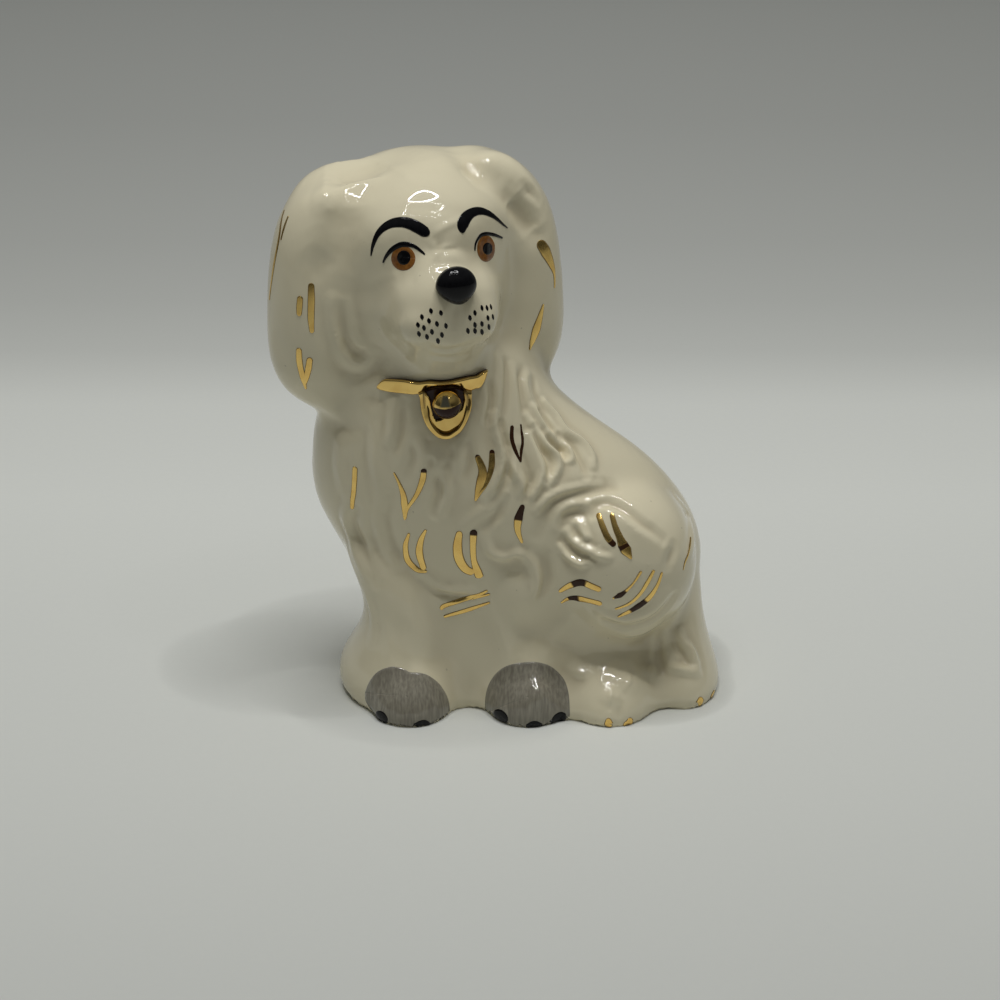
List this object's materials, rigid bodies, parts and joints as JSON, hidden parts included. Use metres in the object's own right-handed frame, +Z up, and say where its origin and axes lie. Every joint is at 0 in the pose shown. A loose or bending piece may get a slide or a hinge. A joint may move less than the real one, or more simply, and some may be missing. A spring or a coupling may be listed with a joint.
{
  "type": "mantelpiece dog figure",
  "caption": "Seated glazed earthenware spaniel with hanging ears, a gilt collar and locket, a painted face and gilt brush marks, which stands on a flat underside as an ornament.",
  "frame": {"origin": "on the flat underside, below the middle of the body", "axes": "+Z up, -Y towards the display side that the chest and paws face, +X towards the tail"},
  "size_m": [0.0726, 0.0441, 0.089],
  "materials": {
    "ivory_glaze": "clear gloss glaze on ivory earthenware",
    "grey_enamel": "brushed grey under a gloss glaze",
    "brown_enamel": "brown enamel under a gloss glaze",
    "black_enamel": "gloss black enamel",
    "gilding": "bright fired gold with brown edges"
  },
  "bodies": {
    "root": {"body": "ivory_glaze", "head": "ivory_glaze", "right_ear": "ivory_glaze", "left_ear": "ivory_glaze", "right_foreleg": "ivory_glaze", "left_foreleg": "ivory_glaze", "left_haunch": "ivory_glaze", "right_haunch": "ivory_glaze", "left_hind_foot": "ivory_glaze", "right_hind_foot": "ivory_glaze", "tail": "ivory_glaze", "right_forepaw": "grey_enamel", "left_forepaw": "grey_enamel", "right_iris": "brown_enamel", "left_iris": "brown_enamel", "nose": "black_enamel", "right_pupil": "black_enamel", "left_pupil": "black_enamel", "right_brow": "black_enamel", "left_brow": "black_enamel", "right_eyelid": "black_enamel", "left_eyelid": "black_enamel", "whisker_dots": "black_enamel", "right_claws": "black_enamel", "left_claws": "black_enamel", "collar": "gilding", "locket_rim": "gilding", "locket": "gilding", "bell": "gilding", "hind_claws": "gilding", "tail_gilding": "gilding", "chest_gilding": "gilding", "haunch_gilding": "gilding", "right_ear_gilding": "gilding", "left_ear_gilding": "gilding"}
  },
  "joints": []
}
